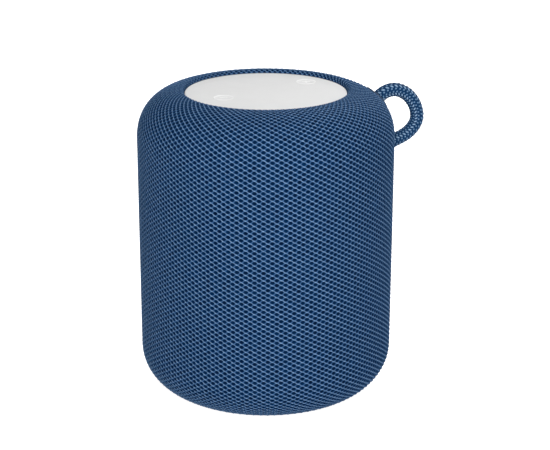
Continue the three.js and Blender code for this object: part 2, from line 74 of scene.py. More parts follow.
PANEL_TOP = 114.3
PANEL_THICKNESS = 2.1
SKIRT_OUTSIDE = 27.9  # the ring under the top panel
SKIRT_INSIDE = 26.7
SKIRT_FOOT = 109
KEY_RADIUS = 3.75
KEYS = {"key_minus": (-15.2, -9.1), "key_plus": (15.1, 15.4)}

PORT_HEIGHT = 22  # the middle of the port panel
PORT_WIDTH = 32
PORT_TALL = 20
PORT_FACE = 43.6  # its flat face, from the body's axis
PORT_CORNER = 4
FLAP_WIDTH = 19
FLAP_MIDDLE = -4
FLAP_HINGE = (PORT_FACE + 0.1, PORT_HEIGHT + 4.6)  # how far back and how high
FLAP_BOTTOM = PORT_HEIGHT - 5.5
FLAP_HALF = 0.9  # half its thickness
POWER_X = 10.6
LIGHT_UP = 5.3  # the status light, above the port panel's middle

BASE_SCREW_CIRCLE = 27.8

DRIVER_HEIGHT = 55.8  # the axis of the driver and the radiator
DRIVER_RIM = 32.4  # the seat of the driver's rim, from the body's axis
RADIATOR_FACE = 31.3  # the seat of the radiator's frame

UP = np.array([0, 0, 1.0])
LOOP_ANGLE = math.radians(15)  # the loop's plane, turned back from +X
LOOP_OUT = np.array([math.cos(LOOP_ANGLE), math.sin(LOOP_ANGLE), 0])  # outwards in the loop's plane
ROPE_RADIUS = 2.6
BUSH_RADIUS = 4.9
PIVOT_PROUD = 0.5  # the loop's pivots stand off the sleeve
TOP_PIVOT_ANGLE = 0.68  # on the shoulder's superellipse
LOW_PIVOT_HEIGHT = 91.4
LOOP_ROUTE = [  # distances from the body's axis and heights along the rope
    (45.6, 110.95),
    (47.5, 111.7),
    (49.75, 111.95),
    (52.0, 111.45),
    (54.3, 110.2),
    (56.3, 108.3),
    (57.9, 105.8),
    (58.8, 103.2),
    (59.05, 100.9),
    (58.5, 98.7),
    (57.2, 96.7),
    (55.4, 95.0),
    (53.1, 93.65),
    (50.6, 92.6),
]

# ---- the knit ----

COLUMNS = 190  # columns of pits round the body
PIT_PITCH = 1.82  # from pit to pit up a column
CELL_STEPS = 5  # mesh steps across a cell, each way
PIT_WIDTH = 0.68  # half a pit's width, in columns
PIT_TALL = 0.48  # half its height, in rows
PIT_DEPTH = 0.5
THREAD_RISE = 0.12

# ---- the braid ----

STRANDS = 10  # each way round the rope
STRAND_PITCH = 1.45  # along the rope, from strand to strand
STRAND_RISE = 0.36
ROPE_STEP = 0.13
ROPE_STEPS_ROUND = 168

# ---- camera ----

CAMERA_AT = (0, -0.5713, 0.2555)
LOOK_AT = (0, 0, 0.05786)
LENS = 104.9
SHIFT = (0.0168, 0.0227)


def add_camera():
    """The photo's viewpoint, about 0.6 m away."""
    data = bpy.data.cameras.new("camera")
    data.lens = LENS
    data.shift_x, data.shift_y = SHIFT
    camera = bpy.data.objects.new("camera", data)
    camera.location = CAMERA_AT
    towards = Vector(LOOK_AT) - Vector(CAMERA_AT)
    camera.rotation_euler = towards.to_track_quat("-Z", "Y").to_euler()
    bpy.context.scene.collection.objects.link(camera)
    bpy.context.scene.camera = camera


# ---- shader helpers ----


def node(tree, kind, inputs=None, **settings):
    """A shader node with its inputs linked or set. Returns its first output."""
    made = tree.nodes.new("ShaderNode" + kind)
    for name, value in settings.items():
        setattr(made, name, value)
    for key, value in (inputs or {}).items():
        if isinstance(value, bpy.types.NodeSocket):
            tree.links.new(value, made.inputs[key])
        else:
            made.inputs[key].default_value = value
    return made.outputs[0]


def calc(tree, operation, *values):
    return node(tree, "Math", dict(enumerate(values)), operation=operation)


def attribute(tree, name):
    return node(tree, "Attribute", attribute_name=name).node.outputs["Fac"]


def ease(tree, value, low, high, start=0.0, end=1.0):
    """value from low to high, eased to a number from start to end."""
    made = {"Value": value, "From Min": low, "From Max": high, "To Min": start, "To Max": end}
    return node(tree, "MapRange", made, interpolation_type="SMOOTHSTEP")


def mix(tree, share, first, second):
    """The colour between first and second, by share."""
    made = tree.nodes.new("ShaderNodeMix")
    made.data_type = "RGBA"
    for socket, value in zip([made.inputs[0], made.inputs[6], made.inputs[7]], [share, first, second]):
        if isinstance(value, bpy.types.NodeSocket):
            tree.links.new(value, socket)
        elif hasattr(value, "__len__"):
            socket.default_value = (*value, 1)
        else:
            socket.default_value = value
    return made.outputs[2]


def new_material(name, **values):
    """A Principled material with these socket values, its tree and its shader."""
    made = bpy.data.materials.new(name)
    made.use_nodes = True
    shader = made.node_tree.nodes["Principled BSDF"]
    for socket, value in values.items():
        shader.inputs[socket.replace("_", " ")].default_value = value
    return made, made.node_tree, shader


def feed(tree, shader, **outputs):
    for socket, value in outputs.items():
        tree.links.new(value, shader.inputs[socket.replace("_", " ")])


def object_point(tree):
    return node(tree, "TexCoord").node.outputs["Object"]


def noise(tree, scale, detail=2.0, roughness=0.5, vector=None):
    inputs = {"Vector": vector or object_point(tree), "Scale": scale}
    return node(tree, "TexNoise", {**inputs, "Detail": detail, "Roughness": roughness})


def bump(tree, height, strength, distance):
    return node(tree, "Bump", {"Height": height, "Strength": strength, "Distance": distance})


# ---- materials ----


def knit_material():
    """Knitted polyester: a net of threads over dark pits, with a painted highlight on the falling threads and a
    fainter one on the rising threads, so the falling threads are the lighter ones.
    """
    made, tree, shader = new_material("knit", Specular_IOR_Level=0.08, Specular_Tint=(0.2, 0.5, 1, 1))
    place = node(tree, "SeparateXYZ", {0: node(tree, "UVMap", uv_map="weave")}).node
    column, row = place.outputs[0], place.outputs[1]

    def pit_distance(shift_column, shift_row):
        across = calc(tree, "WRAP", calc(tree, "ADD", column, shift_column), 1, -1)
        along = calc(tree, "WRAP", calc(tree, "ADD", row, shift_row), 0.5, -0.5)
        wide = calc(tree, "POWER", calc(tree, "ABSOLUTE", calc(tree, "DIVIDE", across, PIT_WIDTH)), 2)
        tall = calc(tree, "POWER", calc(tree, "ABSOLUTE", calc(tree, "DIVIDE", along, PIT_TALL)), 2)
        return calc(tree, "SQRT", calc(tree, "ADD", wide, tall))

    def thread_distance(lean):
        line = calc(tree, "MULTIPLY_ADD", column, lean, row)
        return calc(tree, "SUBTRACT", 0.5, calc(tree, "ABSOLUTE", calc(tree, "WRAP", line, 0.5, -0.5)))

    pit = calc(tree, "MINIMUM", pit_distance(0, 0), pit_distance(-1, -0.5))
    falling = ease(tree, thread_distance(0.5), 0.17, 0.02)
    rising = ease(tree, thread_distance(-0.5), 0.16, 0.03)
    thread = mix(tree, noise(tree, 700, 1), (0.018, 0.065, 0.163), (0.031, 0.094, 0.22))
    highlight_fleck = ease(tree, noise(tree, 1500, 1), 0.4, 0.7, 0.55, 1.15)
    # painted highlight: the rising threads are painted a little lighter and the falling threads lighter still,
    # in noisy flecks
    lit = mix(tree, calc(tree, "MULTIPLY", rising, 0.45), thread, (0.086, 0.174, 0.34))
    lit = mix(tree, calc(tree, "MULTIPLY", falling, highlight_fleck), lit, (0.185, 0.3, 0.48))
    depth = ease(tree, pit, 0.98, 0.58)
    tint = mix(tree, noise(tree, 520, 1), (0.0, 0.001, 0.01), (0.001, 0.02, 0.07))
    colour = mix(tree, depth, lit, tint)
    twist = calc(tree, "SINE", calc(tree, "MULTIPLY", calc(tree, "MULTIPLY_ADD", row, 1.7, column), 22))
    strand = calc(tree, "ADD", calc(tree, "MULTIPLY", twist, 0.5), noise(tree, 4200, 2))
    feed(tree, shader, Base_Color=colour, Roughness=ease(tree, depth, 0, 1, 0.75, 1.0))
    feed(tree, shader, Normal=bump(tree, strand, 0.35, 0.00006))
    return made


def braid_material():
    """Braided polyester: each strand carries a painted highlight on its crown, lighter on one family of
    strands, and painted shade where it dives under its neighbour.
    """
    made, tree, shader = new_material("braid", Specular_IOR_Level=0.2, Specular_Tint=(0.3, 0.6, 1, 1))
    crown, family = attribute(tree, "crown"), attribute(tree, "family")
    base = mix(tree, noise(tree, 900, 1), (0.003, 0.021, 0.066), (0.008, 0.039, 0.107))
    # painted highlight: the colour of the strands' crowns, lighter on one family
    light = mix(tree, family, (0.13, 0.235, 0.375), (0.2, 0.31, 0.455))
    colour = mix(tree, ease(tree, crown, 0.62, 0.97), base, light)
    # painted shade where each strand dives under its neighbour
    colour = mix(tree, ease(tree, crown, 0.35, 0.0), colour, (0.001, 0.006, 0.022))
    feed(tree, shader, Base_Color=colour, Roughness=ease(tree, crown, 0, 1, 0.85, 0.5))
    feed(tree, shader, Normal=bump(tree, noise(tree, 5200, 2), 0.4, 0.00008))
    return made


def speckled(name, dark, light, roughness, grain=900, depth=0.00002, strength=0.3, **values):
    """A moulded or painted surface: fine grain, faint colour variation and uneven gloss."""
    made, tree, shader = new_material(name, **values)
    broad = noise(tree, grain / 18, 4, 0.6)
    colour = mix(tree, broad, dark, light)
    gloss = ease(tree, noise(tree, grain / 7, 3), 0.25, 0.75, *roughness)
    feed(tree, shader, Base_Color=colour, Roughness=gloss)
    feed(tree, shader, Normal=bump(tree, noise(tree, grain, 3, 0.7), strength, depth))
    return made


def ridged(name, dark, light, roughness, direction, pitch, depth, **values):
    """A surface with parallel ridges across direction, such as brushed steel, wound wire or coarse cloth."""
    made, tree, shader = new_material(name, **values)
    inputs = {"Vector": object_point(tree), "Scale": math.pi / 10 / pitch, "Distortion": 0.6, "Detail": 2}
    wave = node(tree, "TexWave", inputs, wave_type="BANDS", bands_direction=direction).node.outputs["Fac"]
    colour = mix(tree, calc(tree, "MULTIPLY", wave, noise(tree, 500, 3)), dark, light)
    feed(tree, shader, Base_Color=colour, Roughness=ease(tree, noise(tree, 350, 3), 0.2, 0.8, *roughness))
    feed(tree, shader, Normal=bump(tree, wave, 0.4, depth))
    return made


def board_material():
    """Green solder mask, with copper tracks and gold pads showing through."""
    made, tree, shader = new_material("circuit_board", Coat_Weight=0.3, Coat_Roughness=0.2)
    sizes = {"Scale": 420, "Mortar Size": 0.07, "Brick Width": 1.3, "Row Height": 0.4}
    colours = {"Color1": (0, 0, 0, 1), "Color2": (0, 0, 0, 1), "Mortar": (1, 1, 1, 1)}
    brick = node(tree, "TexBrick", {"Vector": object_point(tree), **sizes, **colours})
    tracks = calc(tree, "MULTIPLY", brick.node.outputs["Fac"], ease(tree, noise(tree, 130, 0), 0.45, 0.55))
    dots = node(tree, "TexVoronoi", {"Vector": object_point(tree), "Scale": 310, "Randomness": 0.7})
    pads = ease(tree, dots, 0.2, 0.17)
    pads = calc(tree, "MULTIPLY", pads, ease(tree, noise(tree, 95, 0), 0.56, 0.6))
    colour = mix(tree, tracks, (0.008, 0.075, 0.032), (0.03, 0.17, 0.07))
    colour = mix(tree, pads, colour, (0.72, 0.5, 0.16))
    feed(tree, shader, Base_Color=colour, Roughness=ease(tree, noise(tree, 200, 2), 0, 1, 0.3, 0.5))
    feed(tree, shader, Normal=bump(tree, calc(tree, "ADD", tracks, pads), 0.3, 0.00004))
    return made


def make_materials():
    """One material for each of the record's slots."""
    steel = (0.42, 0.44, 0.46), (0.62, 0.63, 0.64)
    return {
        "sleeve_fabric": knit_material(),
        "loop_rope": braid_material(),
        "white_plastic": speckled("white_plastic", (0.75, 0.75, 0.748), (0.8, 0.8, 0.798), (0.41, 0.47),
                                  grain=2600, depth=0.00001, strength=0.2),
        "navy_rubber": speckled("navy_rubber", (0.011, 0.032, 0.078), (0.017, 0.045, 0.1), (0.58, 0.75),
                                grain=3000, depth=0.00002, strength=0.35),
        "shell_plastic": speckled("shell_plastic", (0.009, 0.014, 0.024), (0.014, 0.021, 0.034), (0.5, 0.7),
                                  grain=1800),
        "grey_plastic": speckled("grey_plastic", (0.037, 0.044, 0.053), (0.05, 0.058, 0.068), (0.45, 0.65),
                                 grain=1800),
        "screw_steel": ridged("screw_steel", *steel, (0.25, 0.4), "X", 0.00012, 0.000005, Metallic=1),
        "sheet_steel": ridged("sheet_steel", *steel, (0.22, 0.38), "Y", 0.00018, 0.000004, Metallic=1),
        "circuit_board": board_material(),
        "black_plastic": speckled("black_plastic", (0.008, 0.008, 0.009), (0.014, 0.014, 0.015), (0.35, 0.5),
                                  grain=2400),
        "cone_paper": speckled("cone_paper", (0.01, 0.011, 0.013), (0.026, 0.027, 0.03), (0.75, 0.95),
                               grain=700, depth=0.00008, strength=0.6),
        "surround_rubber": speckled("surround_rubber", (0.01, 0.01, 0.011), (0.014, 0.014, 0.015),
                                    (0.4, 0.55), grain=1200),
        "spider_cloth": ridged("spider_cloth", (0.3, 0.13, 0.035), (0.5, 0.26, 0.09), (0.6, 0.8), "X",
                               0.0005, 0.00006),
        "coil_copper": ridged("coil_copper", (0.42, 0.14, 0.05), (0.7, 0.3, 0.13), (0.2, 0.35), "Y",
                              0.00022, 0.00005, Metallic=1),
        "magnet_steel": speckled("magnet_steel", (0.05, 0.052, 0.056), (0.09, 0.094, 0.1), (0.4, 0.6),
                                 grain=1500, Metallic=0.6),
        "cell_wrap": speckled("cell_wrap", (0.02, 0.23, 0.125), (0.035, 0.3, 0.17), (0.25, 0.4),
                              grain=500, Coat_Weight=0.3),
        "clear_lens": speckled("clear_lens", (0.74, 0.8, 0.85), (0.82, 0.87, 0.9), (0.08, 0.16),
                               grain=800, Coat_Weight=0.6),
    }


# ---- mesh helpers ----


def piece(name, points, faces, slot, body, uv=None, smooth_angle=None):
    """A mesh piece from points in millimetres, in the material of slot, riding on body."""
    mesh = bpy.data.meshes.new(name)
    if isinstance(faces, np.ndarray):
        count, corners = faces.shape
        mesh.vertices.add(len(points))
        mesh.vertices.foreach_set("co", (np.asarray(points) * MM).astype(np.float32).ravel())
        mesh.loops.add(count * corners)
        mesh.loops.foreach_set("vertex_index", faces.astype(np.int32).ravel())
        mesh.polygons.add(count)
        mesh.polygons.foreach_set("loop_start", np.arange(count, dtype=np.int32) * corners)
        mesh.update(calc_edges=True)
    else:
        mesh.from_pydata([tuple(c * MM for c in p) for p in points], [], faces)
    mesh.validate()
    mesh.polygons.foreach_set("use_smooth", np.ones(len(mesh.polygons), bool))
    if smooth_angle is not None:
        mesh.set_sharp_from_angle(angle=math.radians(smooth_angle))
    if uv is not None:
        layer = mesh.uv_layers.new(name="weave")
        layer.uv.foreach_set("vector", uv.astype(np.float32).ravel())
    mesh.materials.append(MATERIALS[slot])
    made = bpy.data.objects.new(name, mesh)
    bpy.context.scene.collection.objects.link(made)
    if body:
        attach(made, body)
    return made


def rounded(profile, radius, steps=4):
    """An outline with each inner corner turned into a small arc."""
    points = [np.array(p, float) for p in profile]
    made = [points[0]]
    for before, corner, after in zip(points, points[1:], points[2:]):
        reach = min(radius, 0.45 * math.dist(before, corner), 0.45 * math.dist(corner, after))
        start = corner + (before - corner) / math.dist(before, corner) * reach
        end = corner + (after - corner) / math.dist(after, corner) * reach
        for i in range(steps + 1):
            t = i / steps
            made.append((1 - t) ** 2 * start + 2 * t * (1 - t) * corner + t * t * end)
    return made + [points[-1]]


def lathe(profile, facets=128):
    """Points and faces of an outline of (radius, height) turned about Z.

    The outline starts and ends on the axis, or closes on itself."""
    profile = np.array(profile, float)
    closes = profile[0, 0] > 1e-6 and np.allclose(profile[0], profile[-1])
    angles = np.arange(facets) * 2 * math.pi / facets
    ring = np.stack([np.cos(angles), np.sin(angles)], 1)
    points, rings = [], []
    for radius, height in profile[:-1] if closes else profile:
        if radius < 1e-6:
            rings.append([len(points)] * facets)
            points.append((0, 0, height))
        else:
            rings.append(list(range(len(points), len(points) + facets)))
            points += [(radius * x, radius * y, height) for x, y in ring]
    if closes:
        rings.append(rings[0])
    faces = []
    for low, high in zip(rings, rings[1:]):
        for k in range(facets):
            n = (k + 1) % facets
            faces.append(list(dict.fromkeys([low[k], low[n], high[n], high[k]])))
    return np.array(points), faces


def smoothstep(t):
    return t * t * (3 - 2 * t)


def lengths_along(line):
    """How far along a line each of its points is."""
    return np.concatenate([[0], np.cumsum(np.linalg.norm(np.diff(line, axis=0), axis=1))])


def tube_quads(rows, around):
    """Quads of a grid of rows + 1 closed rings, each of this many points."""
    corner = np.arange(rows * around)
    following = corner - corner % around + (corner + 1) % around
    return np.stack([corner, following, following + around, corner + around], 1)


def cut_with(target, tools):
    """Cuts each tool out of target and removes it."""
    for tool in tools:
        modifier = target.modifiers.new("cut", "BOOLEAN")
        modifier.object = tool
        modifier.solver = "EXACT"
    evaluated = target.evaluated_get(bpy.context.evaluated_depsgraph_get())
    mesh = bpy.data.meshes.new_from_object(evaluated)
    mesh.set_sharp_from_angle(angle=math.radians(40))
    target.modifiers.clear()
    target.data = mesh
    for tool in tools:
        bpy.data.objects.remove(tool)


# ---- the body's surface ----


def shoulder(t, inset=0.0):
    """The shoulder's point at angle t, moved inwards along its normal, with that normal."""
    x = math.cos(t) ** (2 / SHOULDER_POWER)
    z = math.sin(t) ** (2 / SHOULDER_POWER)
    power = SHOULDER_POWER - 1
    normal = np.array([x**power / SHOULDER_WIDTH, z**power / SHOULDER_HEIGHT])
    normal /= np.linalg.norm(normal)
    point = np.array([BODY_RADIUS - SHOULDER_WIDTH * (1 - x), BODY_TOP - SHOULDER_HEIGHT * (1 - z)])
    return point - inset * normal, normal


def body_radius(z):
    """The sleeve's radius at each height, from the floor to the crest."""
    z = np.asarray(z, float)
    drop = np.clip(HEM_HEIGHT + CORNER_RADIUS - z, 0, CORNER_RADIUS)
    corner = BODY_RADIUS - CORNER_RADIUS + np.sqrt(CORNER_RADIUS**2 - drop**2)
    rise = np.clip((z - BODY_TOP + SHOULDER_HEIGHT) / SHOULDER_HEIGHT, 0, 1)
    top = SHOULDER_WIDTH * (1 - (1 - rise**SHOULDER_POWER) ** (1 / SHOULDER_POWER))
    return corner - top


def sleeve_outline():
    """The sleeve's outline, from its turned-in hem to its foot in the recess, as many short steps."""
    radius, height = BODY_RADIUS - CORNER_RADIUS, HEM_HEIGHT + CORNER_RADIUS
    turned_in = 1.3
    points = [(radius, HEM_HEIGHT + turned_in)]
    for angle in np.linspace(-math.pi / 2, 0, 60):
        points.append((radius + CORNER_RADIUS * math.cos(angle), height + CORNER_RADIUS * math.sin(angle)))
    start = RECESS_RADIUS + ROLL_RADIUS
    crest = math.acos(((start - BODY_RADIUS + SHOULDER_WIDTH) / SHOULDER_WIDTH) ** (SHOULDER_POWER / 2))
    points += [tuple(shoulder(t)[0]) for t in np.linspace(0, crest, 120)[1:]]
    roll_height = points[-1][1] - ROLL_RADIUS
    for angle in np.linspace(math.pi / 2, math.pi, 12)[1:]:
        points.append((start + ROLL_RADIUS * math.cos(angle), roll_height + ROLL_RADIUS * math.sin(angle)))
    return np.array(points + [(RECESS_RADIUS, WALL_FOOT)])


def anchor_frame(place):
    """The point, outward normal, side and up directions of one of the loop's anchors."""
    if place == "top":
        point, normal = shoulder(TOP_PIVOT_ANGLE, -PIVOT_PROUD)
    else:
        point, normal = np.array([BODY_RADIUS + PIVOT_PROUD, LOW_PIVOT_HEIGHT]), np.array([1.0, 0.0])
    out = normal[0] * LOOP_OUT + normal[1] * UP
    side = np.cross(UP, LOOP_OUT)
    return point[0] * LOOP_OUT + point[1] * UP, out, side, np.cross(out, side)


def bush_distance(points):
    """How far points are from the edges of the loop's two holes, negative inside."""
    nearest = np.full(len(points), 1e3)
    for place in ("top", "bottom"):
        at, out, _, _ = anchor_frame(place)
        offset = points - at
        along = offset @ out
        across = np.linalg.norm(offset - along[:, None] * out, axis=1)
        nearest = np.where(np.abs(along) < 15, np.minimum(nearest, across - BUSH_RADIUS - GAP), nearest)
    return nearest


def rectangle_distance(x, z, width, height, radius):
    """How far points are from a rounded rectangle's outline, negative inside."""
    a = np.abs(x) - width / 2 + radius
    b = np.abs(z) - height / 2 + radius
    return np.hypot(np.maximum(a, 0), np.maximum(b, 0)) + np.minimum(np.maximum(a, b), 0) - radius


def window_distance(points):
    """How far points are from the edge of the sleeve's port window."""
    wide, tall = PORT_WIDTH + 2 * GAP, PORT_TALL + 2 * GAP
    found = rectangle_distance(points[:, 0], points[:, 2] - PORT_HEIGHT, wide, tall, PORT_CORNER)
    return np.where(points[:, 1] > 0, found, 1e3)


def sleeve_holes(points):
    return np.minimum(bush_distance(points), window_distance(points))


def snap(points, which, distance, settle):
    """Moves the chosen points to where distance is 0, and settles them back on their surface."""
    step = 0.01
    for _ in range(4):
        at = points[which]
        found = distance(at)
        slope = np.stack([distance(at + step * axis) - distance(at - step * axis) for axis in np.eye(3)], 1)
        slope /= 2 * step
        size = np.maximum((slope**2).sum(1), 1e-6)
        points[which] = settle(at - (found / size)[:, None] * slope)


def trim(points, quads, distance, settle):
    """Keeps the quads that reach outside distance 0, with their inner corners moved to its line."""
    found = distance(points)
    kept = quads[(found[quads] > 0).any(1)]
    used = np.unique(kept)
    snap(points, used[found[used] < 0], distance, settle)
    return kept


def edge_rim(points, quads, where, inwards):
    """Adds a rim turned in from each open edge whose two points are chosen in where."""
    edges = np.concatenate([quads[:, [i, (i + 1) % 4]] for i in range(4)])
    keys = np.sort(edges, 1) @ np.array([len(points), 1])
    _, first, uses = np.unique(keys, return_index=True, return_counts=True)
    open_edges = edges[first[uses == 1]]
    open_edges = open_edges[where[open_edges].all(1)]
    ends, index = np.unique(open_edges, return_inverse=True)
    index = index.reshape(-1, 2) + len(points)
    rim = np.stack([open_edges[:, 1], open_edges[:, 0], index[:, 0], index[:, 1]], 1)
    return np.concatenate([points, points[ends] + inwards[ends]]), np.concatenate([quads, rim])


# ---- the sleeve ----


def pit_and_threads(column, row):
    """How deep each place is in a pit, from 0 to 1, and how near it is to the middle of a falling thread."""
    def wrap(value, half):
        return (value + half) % (2 * half) - half

    def pit(shift_column, shift_row):
        across = wrap(column + shift_column, 1) / PIT_WIDTH
        return np.hypot(across, wrap(row + shift_row, 0.5) / PIT_TALL)

    nearest = np.minimum(pit(0, 0), pit(-1, -0.5))
    depth = np.clip((1.05 - nearest) / 0.5, 0, 1)
    line = 0.5 - np.abs(wrap(row + column / 2, 0.5))
    return smoothstep(depth), np.clip(1 - line / 0.2, 0, 1)


def sleeve_places():
    """Each ring of the sleeve's mesh: how far along the outline it is, its radius and its height."""
    outline = sleeve_outline()
    length = lengths_along(outline)
    rows = int(length[-1] / PIT_PITCH * CELL_STEPS)
    places = np.linspace(0, length[-1], rows + 1)
    return places, np.interp(places, length, outline[:, 0]), np.interp(places, length, outline[:, 1])


def sleeve_surface(places, radius, height, around):
    """The smooth sleeve's points, ring by ring, and their outward normals."""
    slope = np.stack([np.gradient(height, places), -np.gradient(radius, places)], 1)
    slope /= np.linalg.norm(slope, axis=1)[:, None]
    angles = np.arange(around) * 2 * math.pi / around
    turn = np.stack([np.cos(angles), np.sin(angles)], 1)
    points = np.empty((len(places), around, 3))
    points[..., :2] = radius[:, None, None] * turn
    points[..., 2] = height[:, None]
    normals = np.empty_like(points)
    normals[..., :2] = slope[:, :1, None] * turn
    normals[..., 2] = slope[:, 1:]
    return points.reshape(-1, 3), normals.reshape(-1, 3)


def weave_uv(level, around):
    """The column and row of each quad's four corners, for the knit's shader."""
    corner = np.arange((len(level) - 1) * around)
    spot = corner % around / CELL_STEPS
    after = spot + 1 / CELL_STEPS
    low, high = level[corner // around], level[corner // around + 1]
    return np.stack([spot, low, after, low, after, high, spot, high], 1)


def settle_on_body(moved):
    """Moves points level, out or in, to the body's radius."""
    flat = np.linalg.norm(moved[:, :2], axis=1)
    moved[:, :2] *= (body_radius(moved[:, 2]) / flat)[:, None]
    return moved


def add_sleeve():
    """The knit: pits and threads pressed into a fine grid, with clean edges at its three holes."""
    places, radius, height = sleeve_places()
    around = COLUMNS * CELL_STEPS
    level = places / PIT_PITCH
    points, normals = sleeve_surface(places, radius, height, around)
    quads = tube_quads(len(places) - 1, around)

    outside = sleeve_holes(points)
    shown = (outside[quads] > 0).any(1)
    quads, uv = quads[shown], weave_uv(level, around)[shown]
    used = np.unique(quads)
    snap(points, used[outside[used] < 0], sleeve_holes, settle_on_body)

    column, row = np.meshgrid(np.arange(around) / CELL_STEPS, level)
    pits, threads = pit_and_threads(column.ravel(), row.ravel())
    near_hole = np.clip(outside / 1.2, 0, 1)
    near_hem = np.clip(np.repeat(places, around) / 3, 0, 1)
    thin = np.repeat(radius / BODY_RADIUS, around)
    relief = (THREAD_RISE * threads - PIT_DEPTH * pits) * near_hole * near_hem * thin
    points += normals * relief[:, None]

    count = len(quads)
    points, quads = edge_rim(points, quads, outside < 0.01, -1.0 * normals)
    uv = np.concatenate([uv, np.zeros((len(quads) - count, 8))])
    used, quads = np.unique(quads, return_inverse=True)
    made = piece("knitted_sleeve", points[used], quads.reshape(-1, 4), "sleeve_fabric", "root", uv)
    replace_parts(made, "fabric_sleeve")


# ---- the carry loop ----


def loop_line():
    """The rope's centreline, from inside one bush to inside the other, as close points."""
    route = [r * LOOP_OUT + z * UP for r, z in LOOP_ROUTE]
    stub = 3.6
    (top, top_out, _, _), (low, low_out, _, _) = anchor_frame("top"), anchor_frame("bottom")
    controls = np.array([top - stub * top_out, top, *route, low, low - stub * low_out])
    knots = lengths_along(controls)
    places = np.linspace(0, knots[-1], int(knots[-1] / ROPE_STEP))
    tangents = np.gradient(controls, knots, axis=0)
    index = np.clip(np.searchsorted(knots, places, side="right") - 1, 0, len(knots) - 2)
    width = (knots[index + 1] - knots[index])[:, None]
    t = (places[:, None] - knots[index][:, None]) / width
    return (
        (1 + 2 * t) * (1 - t) ** 2 * controls[index]
        + t * (1 - t) ** 2 * width * tangents[index]
        + t * t * (3 - 2 * t) * controls[index + 1]
        + t * t * (t - 1) * width * tangents[index + 1]
    )


def braid(turns, along):
    """The relief of a braid, two strands over and two under, and which way the top one runs."""
    right = turns * STRANDS + along
    left = turns * STRANDS - along
    over = (np.floor(right) + np.floor(left)) % 4 < 2
    across = np.where(over, right % 1, left % 1)
    other = np.where(over, left, right)
    through = np.where(over, (other + np.floor(right)) % 2, (other + np.floor(left) + 1) % 2) / 2
    crown = np.sin(math.pi * across) ** 0.6 * (0.45 + 0.55 * np.sin(math.pi * through))
    return crown, over


def add_loop():
    """A braided rope whose ends run into their bushes."""
    line = loop_line()
    length = lengths_along(line)
    tangent = np.gradient(line, length, axis=0)
    tangent /= np.linalg.norm(tangent, axis=1)[:, None]
    side = np.cross(UP, LOOP_OUT)
    inwards = np.cross(tangent, side)
    turns = np.arange(ROPE_STEPS_ROUND) / ROPE_STEPS_ROUND
    angle = 2 * math.pi * turns
    crown, over = braid(turns[None, :], length[:, None] / STRAND_PITCH)
    reach = ROPE_RADIUS - 0.3 + STRAND_RISE * crown
    direction = np.cos(angle)[None, :, None] * inwards[:, None] + np.sin(angle)[None, :, None] * side
    points = (line[:, None] + reach[..., None] * direction).reshape(-1, 3)
    quads = tube_quads(len(line) - 1, ROPE_STEPS_ROUND)[:, [0, 3, 2, 1]]
    made = piece("braided_loop", points, quads, "loop_rope", None)
    for name, values in (("crown", crown), ("family", over)):
        layer = made.data.attributes.new(name, "FLOAT", "POINT")
        layer.data.foreach_set("value", values.astype(np.float32).ravel())
    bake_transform(made)
    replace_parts(made, "carry_loop")
    [tuple(p * MM) for p in line[::4]]


# ---- the top panel and its keys ----


def prism(outline, low, high, bevel=0.0, segments=2):
    """Points and faces of an outline of (x, y) raised from low to high, with its edges rounded."""
    shape = bmesh.new()
    floor = [shape.verts.new((x, y, low)) for x, y in outline]
    shape.faces.new(floor[::-1])
    lid = [shape.verts.new((x, y, high)) for x, y in outline]
    shape.faces.new(lid)
    count = len(outline)
    for i in range(count):
        j = (i + 1) % count
        shape.faces.new((floor[i], floor[j], lid[j], lid[i]))
    if bevel:
        rims = [e for e in shape.edges if abs(e.verts[0].co.z - e.verts[1].co.z) < 1e-6]
        bmesh.ops.bevel(shape, geom=rims, offset=bevel, segments=segments, profile=0.5, affect="EDGES")
    shape.verts.index_update()
    points = np.array([v.co[:] for v in shape.verts])
    faces = [[v.index for v in f.verts] for f in shape.faces]
    shape.free()
    return points, faces


def rounded_rectangle(width, height, radius, steps=5):
    """The outline of a rounded rectangle about the origin, as (x, y) points."""
    made = []
    for quarter, (a, b) in enumerate([(1, -1), (1, 1), (-1, 1), (-1, -1)]):
        for i in range(steps + 1):
            angle = math.pi / 2 * (quarter - 1 + i / steps)
            made.append((a * (width / 2 - radius) + radius * math.cos(angle),
                         b * (height / 2 - radius) + radius * math.sin(angle)))
    return made


def joined(*parts):
    """Several (points, faces) as one."""
    points, faces = [], []
    for part_points, part_faces in parts:
        faces += [[len(points) + i for i in face] for face in part_faces]
        points += [tuple(p) for p in part_points]
    return np.array(points), faces


def moved(part, x=0.0, y=0.0, z=0.0):
    points, faces = part
    return points + np.array([x, y, z]), faces


def to_back(part):
    """Turns a part whose face points up to face backwards, along +Y."""
    points, faces = part
    return np.stack([-points[:, 0], points[:, 2], points[:, 1]], 1), faces


def add_top_panel():
    """A disc with a rounded edge, a skirt under it and a round hole for each key."""
    low, edge = PANEL_TOP - PANEL_THICKNESS, RECESS_RADIUS - GAP
    top = rounded([(0, PANEL_TOP), (edge, PANEL_TOP), (edge, low), (SKIRT_OUTSIDE, low)], 0.45)
    skirt = rounded([(SKIRT_OUTSIDE, low), (SKIRT_OUTSIDE, SKIRT_FOOT), (SKIRT_INSIDE, SKIRT_FOOT),
                     (SKIRT_INSIDE, low)], 0.25)
    profile = [*top, *skirt[1:], (0, low)]
    panel = piece("top_disc", *lathe(profile[::-1], 192), "white_plastic", "root", smooth_angle=40)
    hole = KEY_RADIUS + 0.06
    drill = lathe([(0, 105), (hole, 105), (hole, 120), (0, 120)], 96)
    cut_with(panel, [piece("tool", *moved(drill, x, y), "white_plastic", None) for x, y in KEYS.values()])
    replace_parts(panel, "top_panel")


